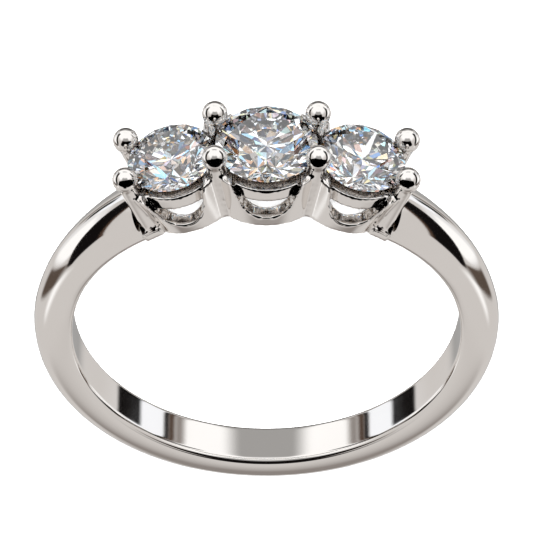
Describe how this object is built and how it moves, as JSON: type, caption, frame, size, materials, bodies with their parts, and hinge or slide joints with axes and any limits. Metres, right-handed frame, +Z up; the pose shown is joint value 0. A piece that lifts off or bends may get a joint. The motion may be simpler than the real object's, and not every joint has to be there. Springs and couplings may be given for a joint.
{
  "type": "three stone ring",
  "caption": "Finger ring of polished white metal with round brilliants in a row, held by ball-tipped claws over scalloped collets, lying on its side",
  "frame": {"origin": "on the floor, under the middle of the ring as it lies on its side", "axes": "+Z up, about along the finger, -Y towards the head with the stones, +Y towards the back of the band, +X along the row of stones, to the left of a viewer who sees the head upright"},
  "size_m": [0.0202, 0.0222, 0.0047],
  "materials": {
    "white_gold": "polished",
    "diamond": "polished facets"
  },
  "bodies": {
    "root": {"band_with_setting": "white_gold", "centre_stone": "diamond", "left_stone": "diamond", "right_stone": "diamond"}
  },
  "joints": []
}
